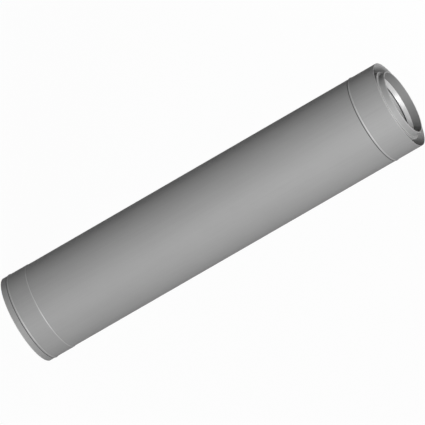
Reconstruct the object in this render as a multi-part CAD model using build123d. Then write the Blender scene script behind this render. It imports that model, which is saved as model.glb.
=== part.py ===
from build123d import *
import math
import os

# A straight length of double-walled flue pipe, standing on its sleeve end.
# Millimetres. +Z runs up the pipe's axis, and Z = 0 is the casing's lower rim.

# Outer casing
casing_length = 1000.0
casing_bore = 210.0
casing_sheet = 0.6
sleeve_length = 66.0
sleeve_play = 0.3
step_length = 2.0
sleeve_stop_gap = 2.0
bead_width = 5.6
bead_crown_width = 1.8
bead_height = 1.1
lower_bead_from_rim = 16.5

# Inner flue liner
flue_bore = 148.0
liner_sheet = 0.6
liner_setback = 34.0
rim_above_casing = 10.7
hem_width = 3.9
hem_skirt_length = 19.0
collar_height = 14.9
groove_depth = 11.1
groove_length = 18.0
socket_depth = 50.0
socket_play = 0.3
socket_step_length = 2.0

# Lip seal
seal_foot_height = 5.7
seal_back_thickness = 4.0
lip_reach = 5.3
lip_drop = 9.3
lip_thickness = 2.2

# Spacer clips
spacer_sheet = 0.8
spacer_count = 3
spacer_first_angle = 45.0
spacer_strip_width = 15.0
spacer_length = 60.0
spacer_foot_length = 12.0
spacer_crown_length = 18.0
spacer_from_end = 130.0

# Radii and heights that follow from the sizes above
casing_in = casing_bore / 2
casing_out = casing_in + casing_sheet
sleeve_in = casing_out + sleeve_play
upper_bead_height = casing_length - sleeve_length - sleeve_stop_gap
liner_in = flue_bore / 2
liner_out = liner_in + liner_sheet
socket_in = liner_out + socket_play
rim_top = casing_length + rim_above_casing
shoulder_top = rim_top - collar_height
groove_out = socket_in + groove_depth
groove_bottom = shoulder_top - groove_length
socket_floor = rim_top - socket_depth


def shifted_line(points, folds, shift):
    """Draw a bent line moved sideways by shift, from the middle of a sheet to one of its faces."""
    headings = [(b - a).normalized() for a, b in zip(points, points[1:])]
    sides = [Vector(-h.Y, h.X) for h in headings]
    corners = [points[0] + sides[0] * shift]
    radii = []
    for i, point in enumerate(points[1:-1]):
        half_turn = math.radians(headings[i].get_angle(headings[i + 1]) / 2)
        mitre = (sides[i] + sides[i + 1]).normalized() * (shift / math.cos(half_turn))
        corners.append(point + mitre)
        turns_left = headings[i].cross(headings[i + 1]).Z > 0
        outside = turns_left == (shift < 0)
        radii.append(2 * abs(shift) if outside and point in folds else 0)
    corners.append(points[-1] + sides[-1] * shift)
    return FilletPolyline(*corners, radius=radii)


def sheet_section(points, thickness, folds=()):
    """Close a bent sheet's cut face around its middle line of (radius, height) points.

    Corners are crisp, but those in folds are rounded outside by the sheet's own thickness.
    """
    middle = [Vector(*point) for point in points]
    folded = [Vector(*point) for point in folds]
    left = shifted_line(middle, folded, thickness / 2)
    right = shifted_line(middle, folded, -thickness / 2)
    ends = [Line(left @ 0, right @ 0), Line(left @ 1, right @ 1)]
    return make_face([*left.edges(), *right.edges(), *ends])


def turned(section, angle=360.0):
    """Turn a (radius, height) section about the pipe's axis."""
    return revolve(Plane.XZ * section, axis=Axis.Z, revolution_arc=angle)


def rolled_bead(radius, height):
    """Give the middle line of a bead that stands out of a wall."""
    return [
        (radius, height - bead_width / 2),
        (radius + bead_height, height - bead_crown_width / 2),
        (radius + bead_height, height + bead_crown_width / 2),
        (radius, height + bead_width / 2),
    ]


def make_outer_casing():
    """Sleeve with its bead, step, body, stop bead and spigot, from one sheet."""
    body = casing_in + casing_sheet / 2
    sleeve = sleeve_in + casing_sheet / 2
    step_top = sleeve_length + step_length / 2
    line = [
        (sleeve, 0),
        *rolled_bead(sleeve, lower_bead_from_rim),
        (sleeve, step_top - step_length),
        (body, step_top),
        *rolled_bead(body, upper_bead_height),
        (body, casing_length),
    ]
    return turned(sheet_section(line, casing_sheet))


def make_flue_liner():
    """Tube, socket step, seal groove, collar and inward-folded rim, from one sheet."""
    half = liner_sheet / 2
    tube = liner_in + half
    socket = socket_in + half
    collar = socket_in + hem_width - half
    groove = groove_out - half
    line = [
        (tube, liner_setback),
        (tube, socket_floor - socket_step_length),
        (socket, socket_floor),
        (socket, groove_bottom + half),
        (groove, groove_bottom + half),
        (groove, shoulder_top - half),
        (collar, shoulder_top - half),
        (collar, rim_top - half),
        (socket, rim_top - half),
        (socket, rim_top - hem_skirt_length),
    ]
    hem_corners = line[-3:-1]
    return turned(sheet_section(line, liner_sheet, hem_corners))


def make_lip_seal():
    """Foot under the groove's shoulder, back along its crown, and a tapered lip."""
    roof = shoulder_top - liner_sheet
    floor = groove_bottom + liner_sheet
    back = groove_out - liner_sheet
    skirt_out = socket_in + liner_sheet
    lip_top = rim_top - hem_skirt_length
    lip_length = math.hypot(lip_reach, lip_drop)
    across = Vector(lip_drop, -lip_reach) * (lip_thickness / lip_length)
    root = Vector(socket_in, lip_top)
    tip = root - Vector(lip_reach, lip_drop)
    under_tip = tip + across
    foot_bottom = roof - seal_foot_height
    under_root = under_tip + Vector(lip_reach, lip_drop) * ((foot_bottom - under_tip.Y) / lip_drop)
    outline = Polyline(
        root,
        tip,
        under_tip,
        under_root,
        (back - seal_back_thickness, foot_bottom),
        (back - seal_back_thickness, floor),
        (back, floor),
        (back, roof),
        (skirt_out, roof),
        (skirt_out, lip_top),
        close=True,
    )
    return turned(make_face(outline))


def make_spacer(height, angle):
    """Hat-shaped clip: two feet on the liner and a crown against the casing."""
    foot = liner_out + spacer_sheet / 2
    crown = casing_in - spacer_sheet / 2
    end = spacer_length / 2
    line = [
        (foot, height - end),
        (foot, height - end + spacer_foot_length),
        (crown, height - spacer_crown_length / 2),
        (crown, height + spacer_crown_length / 2),
        (foot, height + end - spacer_foot_length),
        (foot, height + end),
    ]
    arc = math.degrees(spacer_strip_width / liner_out)
    clip = turned(sheet_section(line, spacer_sheet), arc)
    return Rot(0, 0, angle - arc / 2) * clip


def make_parts():
    """Every piece of the pipe, by name."""
    parts = {
        "outer_casing": make_outer_casing(),
        "flue_liner": make_flue_liner(),
        "lip_seal": make_lip_seal(),
    }
    levels = {"lower": spacer_from_end, "upper": casing_length - spacer_from_end}
    for level, height in levels.items():
        for number in range(spacer_count):
            angle = spacer_first_angle + number * 360 / spacer_count
            parts[f"spacer_{level}_{number + 1}"] = make_spacer(height, angle)
    return parts


os.makedirs("parts", exist_ok=True)
for name, solid in make_parts().items():
    export_step(solid, f"parts/{name}.step")
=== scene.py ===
import math

import bmesh
import bpy
from mathutils import Matrix, Vector


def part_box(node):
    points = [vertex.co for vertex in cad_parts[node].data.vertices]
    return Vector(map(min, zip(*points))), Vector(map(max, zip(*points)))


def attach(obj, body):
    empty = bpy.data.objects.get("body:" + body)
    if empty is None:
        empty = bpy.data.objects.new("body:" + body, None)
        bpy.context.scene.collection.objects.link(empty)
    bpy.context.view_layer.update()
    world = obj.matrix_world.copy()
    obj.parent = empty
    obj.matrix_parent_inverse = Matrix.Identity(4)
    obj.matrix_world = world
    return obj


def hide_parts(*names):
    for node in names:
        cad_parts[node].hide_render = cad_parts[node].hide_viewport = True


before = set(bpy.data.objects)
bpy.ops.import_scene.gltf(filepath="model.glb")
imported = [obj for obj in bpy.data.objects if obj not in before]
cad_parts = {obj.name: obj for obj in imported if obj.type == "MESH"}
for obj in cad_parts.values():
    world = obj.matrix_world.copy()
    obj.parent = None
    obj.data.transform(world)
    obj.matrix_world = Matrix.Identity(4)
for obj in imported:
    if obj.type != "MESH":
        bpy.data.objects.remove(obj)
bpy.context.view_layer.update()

# A straight length of double-walled stainless flue pipe, standing on its sleeve end.
# Metres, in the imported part's frame: +Z runs up the pipe's axis from the floor.

# Sizes of the bent sheet, the same as in the part's source
sheet = 0.0006
sleeve_play = 0.0003
sleeve_length = 0.066
step_length = 0.002
bead_width = 0.0056
bead_crown_width = 0.0018
bead_height = 0.0011
lower_bead_height = 0.0165
upper_bead_height = 0.932
hem_width = 0.0039
hem_skirt_length = 0.019
collar_height = 0.0149
groove_depth = 0.0111
groove_length = 0.018
socket_depth = 0.050
socket_play = 0.0003
socket_step_length = 0.002
seal_foot_height = 0.0057
seal_back_thickness = 0.004
lip_reach = 0.0053
lip_drop = 0.0093
lip_thickness = 0.0022
spacer_sheet = 0.0008
spacer_count = 3
spacer_first_angle = 45
spacer_strip_width = 0.015
spacer_foot_length = 0.012
spacer_crown_length = 0.018

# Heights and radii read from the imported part
casing_low, casing_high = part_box("outer_casing")
liner_low, liner_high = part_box("flue_liner")
casing_top = casing_high.z
rim_top = liner_high.z
sleeve_out = casing_high.x - bead_height
casing_out = sleeve_out - sheet - sleeve_play
groove_out = liner_high.x
socket_in = groove_out - groove_depth
liner_out = socket_in - socket_play
shoulder_top = rim_top - collar_height
groove_bottom = shoulder_top - groove_length

# Bends, deburred edges and roundings that only the finer pieces have
casing_bend_radius = 0.0008
liner_bend_radius = 0.0009
spacer_bend_radius = 0.0015
deburred_edge = 0.0001
lip_rounding = 0.0009
lip_root_rounding = 0.0015
seal_foot_rounding = 0.0010
seal_back_rounding = 0.0008
groove_corner_rounding = 0.0009
roof_edge_rounding = 0.0003
skirt_edge_rounding = 0.0002

# Weld seams and spot welds, with angles in degrees round the axis from +X
casing_weld_angle = 112
liner_weld_angle = 8
weld_width = 0.002
weld_height = 0.00012
spot_weld_radius = 0.0022
spot_weld_height = 0.0002

# How finely the meshes are cut
turn_steps = 192
bend_steps = 5
weld_steps = 8
spacer_steps = 8
spot_weld_steps = 16
face_support = 0.0005
shortest_supported_run = 4 * face_support
smooth_limit = math.radians(35)

# Shades of the four materials, and shares of a sheet's shade where it looks different: painted
# light inside, painted shade on the liner's skirt, painted highlights and painted shade in creases
casing_grey = (0.38, 0.38, 0.38)
liner_grey = (0.45, 0.45, 0.45)
spacer_grey = (0.36, 0.36, 0.36)
silicone_grey = (0.64, 0.64, 0.64)
casing_inside_painted_light = 1.7
liner_bore_painted_light = 1.2
liner_skirt_painted_shade = 0.62
wear_and_highlight_shade = 1.35
crease_painted_shade = 0.1
molten_shade = 0.82
heat_tint = (1.08, 0.96, 0.80)
dusty_shade = 0.93

# Radius in metres times how squarely a face looks at the axis, above which it is an inner one
facing_in_limit = 0.02

# Satin steel sheet. It counts as part metal and has a dark edge tint, so that the white floor
# hardly shows in it.
steel_metallic = 0.3
steel_edge_tint = (0.1, 0.1, 0.1, 1)
sheet_roughness = 0.70
spacer_roughness = 0.68
grain_scales = (1400, 1400, 9)
streak_scales = (160, 160, 3)
patch_scales = (11, 11, 7)
grain_share = 0.5
streak_share = 0.2
patch_share = 0.3
tone_spread = 0.14
patch_dulling = 0.08
grain_dulling = 0.04
grain_depth = 0.00002
grain_strength = 0.5
patch_depth = 0.0006
patch_strength = 0.15

# Rubbed light lines, partly wear and partly a painted highlight, and dark lines of painted shade
# in the bead creases, round the pipe, at full strength close to their height and gone at their
# reach
line_core = 0.0005
line_reach = 0.0013
line_patchiness = 0.4
rubbed_polish = 0.15
shoulder_highlight = 0.6

# A weld's smooth molten bead and the heat tint beside it
heat_reach = 0.006
heat_strength = 0.30
molten_core = 0.35 * weld_width
molten_reach = 0.6 * weld_width
molten_strength = 0.6
molten_polish = 0.12
ripple_scales = (300, 300, 900)
ripple_dulling = 0.1

# Silicone rubber with a smooth moulded skin
silicone_roughness = 0.26
dust_dulling = 0.1
dust_scales = (90, 90, 90)
skin_scales = (900, 900, 900)
skin_depth = 0.00004
skin_strength = 0.3

# Floor and world. Below the horizon the world is as white as the floor looks.
floor_radius = 60
floor_corners = 96
floor_dark = (0.49, 0.49, 0.49)
floor_light = (0.51, 0.51, 0.51)
mottle_scales = (0.7, 0.7, 0.7)
floor_white_share = 0.97
horizon_white = 0.976
world_grey = 0.02

# The photograph's view of the pipe, whose axis rises to the right in it
view_elevation = math.radians(15)
view_roll = math.radians(60)
view_lens = 1500
view_sensor = 36
frame_width = 0.9550
frame_px = 425
axis_shift_px = -0.34

# Places of a Mix node's colour sockets, which share their names with its other kinds
mix_first_colour = 6
mix_second_colour = 7
mix_result_colour = 2


class Value:
    """A number, colour or vector that a node gives, usable in a sum."""

    def __init__(self, finish, socket):
        self.finish = finish
        self.socket = socket

    def beside(self, output):
        """Another output of the same node."""
        return Value(self.finish, self.socket.node.outputs[output])

    def __add__(self, other):
        return self.finish.maths("ADD", self, other)

    def __radd__(self, other):
        return self.finish.maths("ADD", other, self)

    def __sub__(self, other):
        return self.finish.maths("SUBTRACT", self, other)

    def __rsub__(self, other):
        return self.finish.maths("SUBTRACT", other, self)

    def __mul__(self, other):
        return self.finish.maths("MULTIPLY", self, other)

    def __rmul__(self, other):
        return self.finish.maths("MULTIPLY", other, self)

    def __gt__(self, other):
        return self.finish.maths("GREATER_THAN", self, other)

    def __abs__(self):
        return self.finish.maths("ABSOLUTE", self, 0)


class Finish:
    """The nodes of one surface finish, or of the world."""

    def __init__(self, owner):
        self.owner = owner
        owner.use_nodes = True
        self.tree = owner.node_tree
        self.tree.nodes.clear()

    def node(self, kind, settings=None, inputs=None, output=0):
        """Add a node: its settings first, then its inputs as numbers, colours or other values."""
        made = self.tree.nodes.new(kind)
        for key, setting in (settings or {}).items():
            setattr(made, key, setting)
        for key, value in (inputs or {}).items():
            if isinstance(value, Value):
                self.tree.links.new(value.socket, made.inputs[key])
            else:
                made.inputs[key].default_value = value
        return Value(self, made.outputs[output]) if made.outputs else None

    def maths(self, operation, first, second):
        return self.node("ShaderNodeMath", {"operation": operation}, {0: first, 1: second})

    def place(self):
        """Position in the pipe's own frame, in metres."""
        return self.node("ShaderNodeTexCoord", output="Object")

    def axes(self, vector):
        """A vector as three numbers."""
        split = self.node("ShaderNodeSeparateXYZ", None, {0: vector})
        return [split.beside(axis) for axis in ("X", "Y", "Z")]

    def facing_in(self, x, y):
        """1 on the faces that look towards the pipe's axis, and 0 on level and outer ones."""
        normal_x, normal_y = self.axes(self.node("ShaderNodeTexCoord", output="Normal"))[:2]
        return (x * normal_x + y * normal_y) * -1 > facing_in_limit

    def noise(self, scales, detail=2.0, roughness=0.5):
        """Smooth noise from 0 to 1, with a scale for each axis."""
        settings = {"operation": "MULTIPLY"}
        stretched = self.node("ShaderNodeVectorMath", settings, {0: self.place(), 1: scales})
        inputs = {"Vector": stretched, "Scale": 1.0, "Detail": detail, "Roughness": roughness}
        return self.node("ShaderNodeTexNoise", {"noise_dimensions": "3D"}, inputs)

    def fade(self, distance, near, far):
        """1 at near and closer, falling smoothly to 0 at far."""
        settings = {"interpolation_type": "SMOOTHSTEP"}
        inputs = {
            "Value": distance, "From Min": near, "From Max": far, "To Min": 1.0, "To Max": 0.0,
        }
        return self.node("ShaderNodeMapRange", settings, inputs)

    def blend(self, factor, first, second):
        """Blend from one colour to another, each a colour or a value."""
        first, second = [c if isinstance(c, Value) else (*c, 1) for c in (first, second)]
        inputs = {"Factor": factor, mix_first_colour: first, mix_second_colour: second}
        return self.node("ShaderNodeMix", {"data_type": "RGBA"}, inputs, mix_result_colour)

    def bump(self, height, distance, strength, under=None):
        """Relief of a height, over the relief that is under it."""
        inputs = {"Height": height, "Distance": distance, "Strength": strength}
        if under is not None:
            inputs["Normal"] = under
        return self.node("ShaderNodeBump", None, inputs)

    def surface(self, **inputs):
        """Close the finish with one Principled surface."""
        shader = self.node("ShaderNodeBsdfPrincipled", None, inputs)
        self.node("ShaderNodeOutputMaterial", None, {"Surface": shader})
        return self.owner


def scaled(colour, factor):
    return tuple(factor * c for c in colour)


def sheet_steel(name, grey, rough, inside_painted_light=1.0, skirt_painted_shade=None, weld_angle=None,
                worn_and_lit_edges=(), painted_shade_creases=()):
    """Satin stainless sheet: rolling grain, dull patches, a weld, light lines of wear with a
    painted highlight, dark lines of painted shade in creases, and painted light on its inner faces.

    Worn and lit edges are pairs of a height and a strength, and the painted-shade creases are
    heights. The skirt's painted shade, if there is one, takes the place of the inside's painted
    light above the bottom of the liner's groove.
    """
    finish = Finish(bpy.data.materials.new(name))
    x, y, z = finish.axes(finish.place())
    grain = finish.noise(grain_scales, detail=3.0, roughness=0.6)
    streak = finish.noise(streak_scales)
    patch = finish.noise(patch_scales, detail=3.0, roughness=0.55)
    tone = grain * grain_share + streak * streak_share + patch * patch_share
    colour = finish.blend(tone, scaled(grey, 1 - tone_spread), scaled(grey, 1 + tone_spread))
    dullness = rough + (patch - 0.5) * patch_dulling + (grain - 0.5) * grain_dulling

    # Painted light and shade: inner faces, which lie in shade, are painted lighter, and the liner's
    # skirt above its groove, which the lamps reach, is painted darker
    inner = scaled(grey, inside_painted_light)
    if skirt_painted_shade is not None:
        inner = finish.blend(z > groove_bottom, inner, scaled(grey, skirt_painted_shade))
    inside = finish.facing_in(x, y)
    colour = finish.blend(inside, colour, inner)

    # Light lines: rubbed wear and a painted highlight, strongest on the beads' upper flanks, the
    # sleeve's step and the liner's shoulder. Dark lines: painted shade in the beads' lower creases.
    patchy = 1 - (1 - patch) * line_patchiness
    for height, strength in worn_and_lit_edges:
        line = finish.fade(abs(z - height), line_core, line_reach)
        worn_and_lit = line * patchy * (1 - inside) * strength
        colour = finish.blend(worn_and_lit, colour, scaled(grey, wear_and_highlight_shade))
        dullness = dullness - worn_and_lit * rubbed_polish
    # Painted shade darkens each bead's lower flank, where its crease would be in shade
    for height in painted_shade_creases:
        line = finish.fade(abs(z - height), line_core, line_reach)
        colour = finish.blend(line * patchy, colour, scaled(grey, crease_painted_shade))

    if weld_angle is not None:
        turn = math.radians(weld_angle)
        seam_side = (x * math.cos(turn) + y * math.sin(turn)) > 0
        off_seam = abs(x * math.sin(turn) - y * math.cos(turn))
        heated = finish.fade(off_seam, weld_width / 2, heat_reach) * seam_side
        heated_grey = tuple(shade * tint for shade, tint in zip(grey, heat_tint))
        colour = finish.blend(heated * heat_strength, colour, heated_grey)
        molten = finish.fade(off_seam, molten_core, molten_reach) * seam_side
        colour = finish.blend(molten * molten_strength, colour, scaled(grey, molten_shade))
        ripple = finish.noise(ripple_scales)
        dullness = dullness - molten * molten_polish + molten * ripple * ripple_dulling

    grained = finish.bump(grain, grain_depth, grain_strength)
    return finish.surface(**{
        "Base Color": colour,
        "Metallic": steel_metallic,
        "Roughness": dullness,
        "Specular IOR Level": 0.0,
        "Specular Tint": steel_edge_tint,
        "Normal": finish.bump(patch, patch_depth, patch_strength, grained),
    })


def light_silicone(name, grey):
    """Light silicone rubber with a smooth moulded skin and a little dust."""
    finish = Finish(bpy.data.materials.new(name))
    skin = finish.noise(skin_scales)
    dust = finish.noise(dust_scales, detail=3.0, roughness=0.6)
    return finish.surface(**{
        "Base Color": finish.blend(dust, scaled(grey, dusty_shade), grey),
        "Metallic": 0.0,
        "Roughness": silicone_roughness + dust * dust_dulling,
        "Coat Weight": 1.0,
        "Coat Roughness": 0.3,
        "Coat IOR": 2.1,
        "Normal": finish.bump(skin, skin_depth, skin_strength),
    })


def pale_floor():
    """Matt pale floor that shows nearly white behind the pipe and in its metal.

    What is left of its own colour keeps a faint shadow of the pipe.
    """
    finish = Finish(bpy.data.materials.new("pale_floor"))
    mottled = finish.blend(finish.noise(mottle_scales), floor_dark, floor_light)
    lit = finish.node("ShaderNodeBsdfDiffuse", None, {"Color": mottled})
    white = finish.node("ShaderNodeEmission", None, {"Color": (1, 1, 1, 1), "Strength": 1.0})
    rays = finish.node("ShaderNodeLightPath")
    seen = (rays.beside("Is Camera Ray") + rays.beside("Is Glossy Ray")
            + rays.beside("Is Transmission Ray"))
    shaders = {0: seen * floor_white_share, 1: lit, 2: white}
    mixed = finish.node("ShaderNodeMixShader", None, shaders)
    finish.node("ShaderNodeOutputMaterial", None, {"Surface": mixed})
    return finish.owner


def left_of(heading):
    return Vector((-heading.y, heading.x))


def bent_line(corners, bend_radius):
    """Follow (radius, height) corners with round bends, as points with their headings."""
    corners = [Vector(corner) for corner in corners]
    headings = [(b - a).normalized() for a, b in zip(corners, corners[1:])]
    line = [(corners[0], headings[0])]
    for corner, before, after in zip(corners[1:-1], headings, headings[1:]):
        turn = math.atan2(before.x * after.y - before.y * after.x, before.dot(after))
        trim = bend_radius * math.tan(abs(turn) / 2)
        side = math.copysign(bend_radius, turn)
        centre = corner - before * trim + left_of(before) * side
        if (corner - before * trim - line[-1][0]).length > shortest_supported_run:
            line.append((line[-1][0] + before * face_support, before))
            line.append((corner - before * (trim + face_support), before))
        for step in range(bend_steps + 1):
            heading = before.copy()
            heading.rotate(Matrix.Rotation(turn * step / bend_steps, 2))
            line.append((centre - left_of(heading) * side, heading))
    line.append((corners[-1] - headings[-1] * face_support, headings[-1]))
    line.append((corners[-1], headings[-1]))
    return line


def sheet_layers(line, thickness):
    """Points of a bent line, each with its left-hand side and the sheet's half-thickness.

    The sheet is thinner at its cut ends, where the edges are deburred.
    """
    half = thickness / 2
    first, first_heading = line[0]
    last, last_heading = line[-1]
    layers = [
        (first, first_heading, half - deburred_edge),
        (first + first_heading * deburred_edge, first_heading, half),
        *[(point, heading, half) for point, heading in line[1:-1]],
        (last - last_heading * deburred_edge, last_heading, half),
        (last, last_heading, half - deburred_edge),
    ]
    return [(point, left_of(heading), reach) for point, heading, reach in layers]


def full_turn(radius, weld_angle):
    """Angles round the pipe, close together at the weld seam, each with its weld's rise."""
    seam = math.radians(weld_angle)
    reach = weld_width / 2 / radius
    angles = []
    for step in range(turn_steps):
        angle = seam + 2 * math.pi * (step + 0.5) / turn_steps
        angles.append((angle, 0.0))
    for step in range(weld_steps + 1):
        across = 2 * step / weld_steps - 1
        rise = weld_height * (1 + math.cos(math.pi * across)) / 2
        angles.append((seam + across * reach + 2 * math.pi, rise))
    return sorted(angles)


def turned(name, angles, closed, loop_at):
    """Turn a closed (radius, height) loop about the pipe's axis, through the given angles.

    The loop of an open turn goes up one side of a sheet and down the other, so that strips
    between the two sides close its ends.
    """
    rings = []
    form = bmesh.new()
    for angle, rise in angles:
        loop = loop_at(rise)
        ring = [form.verts.new((r * math.cos(angle), r * math.sin(angle), z)) for r, z in loop]
        rings.append(ring)
    count = len(rings[0])
    pairs = list(zip(rings, rings[1:]))
    if closed:
        pairs.append((rings[-1], rings[0]))
    for ring, following in pairs:
        for i in range(count):
            j = (i + 1) % count
            form.faces.new((ring[i], ring[j], following[j], following[i]))
    if not closed:
        for ring in (rings[0], rings[-1]):
            for i in range(count // 2 - 1):
                across = count - 1 - i
                form.faces.new((ring[i], ring[i + 1], ring[across - 1], ring[across]))
    bmesh.ops.recalc_face_normals(form, faces=form.faces)
    return finished_mesh(bpy.data.meshes.new(name), form)


def finished_mesh(mesh, form):
    """Write a form to its mesh, smooth but for its sharp edges."""
    form.to_mesh(mesh)
    form.free()
    mesh.shade_smooth()
    mesh.set_sharp_from_angle(angle=smooth_limit)
    return mesh


def turned_sheet(name, corners, thickness, bend_radius, angles, closed=True):
    """Turn a bent sheet, with its weld seam a little proud of both faces, but flat on a rim."""
    layers = sheet_layers(bent_line(corners, bend_radius), thickness)

    def loop_at(rise):
        left = [point + side * (half + rise * abs(side.x)) for point, side, half in layers]
        right = [point - side * (half + rise * abs(side.x)) for point, side, half in layers]
        return left + right[::-1]

    return turned(name, angles, closed, loop_at)


def rounded_loop(corners):
    """Round each (radius, height, rounding) corner of a closed outline."""
    loop = []
    for i, (r, z, rounding) in enumerate(corners):
        here = Vector((r, z))
        back = (Vector(corners[i - 1][:2]) - here).normalized()
        ahead = (Vector(corners[(i + 1) % len(corners)][:2]) - here).normalized()
        half_angle = back.angle(ahead) / 2
        trim = rounding / math.tan(half_angle)
        centre = here + (back + ahead).normalized() * (rounding / math.sin(half_angle))
        start = here + back * trim - centre
        end = here + ahead * trim - centre
        turn = math.atan2(start.x * end.y - start.y * end.x, start.dot(end))
        for step in range(bend_steps + 1):
            spoke = start.copy()
            spoke.rotate(Matrix.Rotation(turn * step / bend_steps, 2))
            loop.append(centre + spoke)
    return loop


def piece(name, mesh, material, *nodes):
    """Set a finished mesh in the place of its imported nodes."""
    obj = bpy.data.objects.new(name, mesh)
    bpy.context.collection.objects.link(obj)
    mesh.materials.append(material)
    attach(obj, "root")
    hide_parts(*nodes)
    return obj


def rolled_bead(radius, height):
    """Corners of a bead that stands out of a wall."""
    return [
        (radius, height - bead_width / 2),
        (radius + bead_height, height - bead_crown_width / 2),
        (radius + bead_height, height + bead_crown_width / 2),
        (radius, height + bead_width / 2),
    ]


def make_outer_casing(steel):
    """Sleeve with its bead, step, body, stop bead and spigot, from one sheet."""
    body = casing_out - sheet / 2
    sleeve = sleeve_out - sheet / 2
    step_top = sleeve_length + step_length / 2
    corners = [
        (sleeve, casing_low.z),
        *rolled_bead(sleeve, lower_bead_height),
        (sleeve, step_top - step_length),
        (body, step_top),
        *rolled_bead(body, upper_bead_height),
        (body, casing_top),
    ]
    angles = full_turn(body, casing_weld_angle)
    mesh = turned_sheet("casing", corners, sheet, casing_bend_radius, angles)
    piece("casing", mesh, steel, "outer_casing")


def make_flue_liner(steel):
    """Tube, socket step, seal groove, collar and inward-folded rim, from one sheet."""
    half = sheet / 2
    tube = liner_out - half
    socket = socket_in + half
    collar = socket_in + hem_width - half
    groove = groove_out - half
    corners = [
        (tube, liner_low.z),
        (tube, rim_top - socket_depth - socket_step_length),
        (socket, rim_top - socket_depth),
        (socket, groove_bottom + half),
        (groove, groove_bottom + half),
        (groove, shoulder_top - half),
        (collar, shoulder_top - half),
        (collar, rim_top - half),
        (socket, rim_top - half),
        (socket, rim_top - hem_skirt_length),
    ]
    angles = full_turn(tube, liner_weld_angle)
    mesh = turned_sheet("liner", corners, sheet, liner_bend_radius, angles)
    piece("liner", mesh, steel, "flue_liner")


def make_lip_seal(silicone):
    """Foot under the groove's shoulder, back along its crown, and a tapered lip."""
    roof = shoulder_top - sheet
    floor = groove_bottom + sheet
    back = groove_out - sheet
    skirt_out = socket_in + sheet
    lip_top = rim_top - hem_skirt_length
    across = Vector((lip_drop, -lip_reach)).normalized() * lip_thickness
    root = Vector((socket_in, lip_top))
    tip = root - Vector((lip_reach, lip_drop))
    under_tip = tip + across
    foot_bottom = roof - seal_foot_height
    root_rise = (foot_bottom - under_tip.y) / lip_drop
    under_root = under_tip + Vector((lip_reach, lip_drop)) * root_rise
    outline = [
        (*root, skirt_edge_rounding),
        (*tip, lip_rounding),
        (*under_tip, lip_rounding),
        (*under_root, lip_root_rounding),
        (back - seal_back_thickness, foot_bottom, seal_foot_rounding),
        (back - seal_back_thickness, floor, seal_back_rounding),
        (back, floor, groove_corner_rounding),
        (back, roof, groove_corner_rounding),
        (skirt_out, roof, roof_edge_rounding),
        (skirt_out, lip_top, skirt_edge_rounding),
    ]
    loop = rounded_loop(outline)
    angles = [(2 * math.pi * step / turn_steps, 0.0) for step in range(turn_steps)]
    mesh = turned("seal", angles, True, lambda rise: loop)
    piece("seal", mesh, silicone, "lip_seal")


def make_spacers(steel):
    """Hat-shaped clips: two feet spot-welded to the liner and a crown against the casing."""
    foot = liner_out + spacer_sheet / 2
    crown = casing_out - sheet - spacer_sheet / 2
    half_arc = spacer_strip_width / liner_out / 2
    for level in ("lower", "upper"):
        for number in range(spacer_count):
            node = f"spacer_{level}_{number + 1}"
            low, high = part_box(node)
            height = (low.z + high.z) / 2
            corners = [
                (foot, low.z),
                (foot, low.z + spacer_foot_length),
                (crown, height - spacer_crown_length / 2),
                (crown, height + spacer_crown_length / 2),
                (foot, high.z - spacer_foot_length),
                (foot, high.z),
            ]
            middle = math.radians(spacer_first_angle + number * 360 / spacer_count)
            angles = []
            for step in range(spacer_steps + 1):
                angles.append((middle + half_arc * (2 * step / spacer_steps - 1), 0.0))
            clip = node + "_clip"
            mesh = turned_sheet(clip, corners, spacer_sheet, spacer_bend_radius, angles, False)
            add_spot_welds(mesh, middle, (low.z, high.z))
            piece(clip, mesh, steel, node)


def add_spot_welds(mesh, middle, ends):
    """Two low round weld marks on each foot of a clip, half sunk into its outer face."""
    form = bmesh.new()
    form.from_mesh(mesh)
    face = liner_out + spacer_sheet
    inward = spacer_foot_length / 2
    flat = Matrix.Diagonal((spot_weld_radius, spot_weld_radius, spot_weld_height * 2, 1))
    for height in (ends[0] + inward, ends[1] - inward):
        for side in (-1, 1):
            angle = middle + side * spacer_strip_width / liner_out / 4
            outward = Vector((math.cos(angle), math.sin(angle), 0))
            centre = outward * (face - spot_weld_height) + Vector((0, 0, height))
            turn = outward.to_track_quat("Z", "Y").to_matrix().to_4x4()
            mark = bmesh.ops.create_uvsphere(
                form, u_segments=spot_weld_steps, v_segments=spot_weld_steps // 2, radius=1)
            place = Matrix.Translation(centre) @ turn @ flat
            bmesh.ops.transform(form, matrix=place, verts=mark["verts"])
    finished_mesh(mesh, form)


def place_camera():
    """Look at the pipe as the photograph does, with its axis rising to the right."""
    data = bpy.data.cameras.new("view_camera")
    data.lens = view_lens
    data.sensor_width = view_sensor
    data.sensor_fit = "HORIZONTAL"
    camera = bpy.data.objects.new("view_camera", data)
    bpy.context.collection.objects.link(camera)
    back = Vector((0, -math.cos(view_elevation), math.sin(view_elevation)))
    level_right = Vector((1, 0, 0))
    level_up = back.cross(level_right)
    right = level_right * math.cos(view_roll) + level_up * math.sin(view_roll)
    up = back.cross(right)
    axis = Vector((0, 0, 1))
    along = (axis - back * axis.dot(back)).normalized()
    across = along.cross(back)
    target = axis * (casing_top / 2) - across * (axis_shift_px * frame_width / frame_px)
    distance = frame_width * view_lens / view_sensor
    turn = Matrix((right, up, back)).transposed().to_4x4()
    camera.matrix_world = Matrix.Translation(target + back * distance) @ turn
    bpy.context.scene.camera = camera


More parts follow.
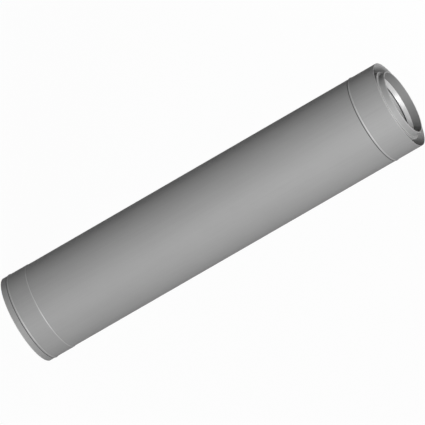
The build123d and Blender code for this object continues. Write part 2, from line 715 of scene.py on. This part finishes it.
def softbox(name, target_height, azimuth, elevation, distance, width, height, watts):
    """A soft rectangular lamp that faces a point of the pipe's axis.

    Its azimuth is counted in degrees to the right of the photograph's view.
    """
    data = bpy.data.lights.new(name, "AREA")
    data.shape = "RECTANGLE"
    data.size = width
    data.size_y = height
    data.energy = watts
    light = bpy.data.objects.new(name, data)
    bpy.context.collection.objects.link(light)
    turn = math.radians(azimuth)
    rise = math.radians(elevation)
    level = Vector((math.sin(turn), -math.cos(turn), 0))
    away = level * math.cos(rise) + Vector((0, 0, math.sin(rise)))
    light.location = Vector((0, 0, target_height)) + away * distance
    light.rotation_mode = "QUATERNION"
    light.rotation_quaternion = (-away).to_track_quat("-Z", "Y")


def light_scene():
    """A far main lamp, a small one for the mouth and one for the back, in a dim studio."""
    middle = casing_top / 2
    softbox("key_softbox", middle, azimuth=20, elevation=22, distance=20,
            width=6.0, height=6.0, watts=3150)
    softbox("mouth_softbox", casing_top, azimuth=14, elevation=56, distance=1.8,
            width=1.3, height=1.2, watts=13)
    softbox("back_softbox", middle, azimuth=190, elevation=10, distance=8,
            width=3.0, height=2.4, watts=480)
    studio = Finish(bpy.data.worlds.new("studio"))
    above_horizon = studio.axes(studio.node("ShaderNodeTexCoord"))[2] > 0
    strength = horizon_white - above_horizon * (horizon_white - world_grey)
    inputs = {"Color": (1, 1, 1, 1), "Strength": strength}
    background = studio.node("ShaderNodeBackground", None, inputs)
    studio.node("ShaderNodeOutputWorld", None, {"Surface": background})
    bpy.context.scene.world = studio.owner


def lay_floor():
    bpy.ops.mesh.primitive_circle_add(vertices=floor_corners, radius=floor_radius, fill_type="NGON")
    floor = bpy.context.object
    floor.name = "floor"
    floor.data.materials.append(pale_floor())


def bead_flanks(side):
    """Heights in the middle of each bead's upper or lower flank."""
    flank = (bead_width + bead_crown_width) / 4
    return [height + side * flank for height in (lower_bead_height, upper_bead_height)]


# Heights of wear lines with a painted highlight, and of painted shade under each bead's crown
casing_worn_and_lit_edges = [casing_low.z, sleeve_length, casing_top, *bead_flanks(1)]
casing_steel = sheet_steel(
    "casing_steel", casing_grey, sheet_roughness,
    inside_painted_light=casing_inside_painted_light,
    weld_angle=casing_weld_angle,
    worn_and_lit_edges=[(height, 1.0) for height in casing_worn_and_lit_edges],
    painted_shade_creases=bead_flanks(-1),
)
# The liner's shoulder line is a painted highlight, and its end lines are wear with a painted
# highlight
liner_steel = sheet_steel(
    "liner_steel", liner_grey, sheet_roughness,
    inside_painted_light=liner_bore_painted_light,
    skirt_painted_shade=liner_skirt_painted_shade,
    weld_angle=liner_weld_angle,
    worn_and_lit_edges=[(liner_low.z, 1.0), (shoulder_top, shoulder_highlight), (rim_top, 1.0)],
)
make_outer_casing(casing_steel)
make_flue_liner(liner_steel)
make_lip_seal(light_silicone("seal_silicone", silicone_grey))
make_spacers(sheet_steel("spacer_steel", spacer_grey, spacer_roughness))
place_camera()
light_scene()
lay_floor()

bpy.context.scene.view_settings.view_transform = "Standard"
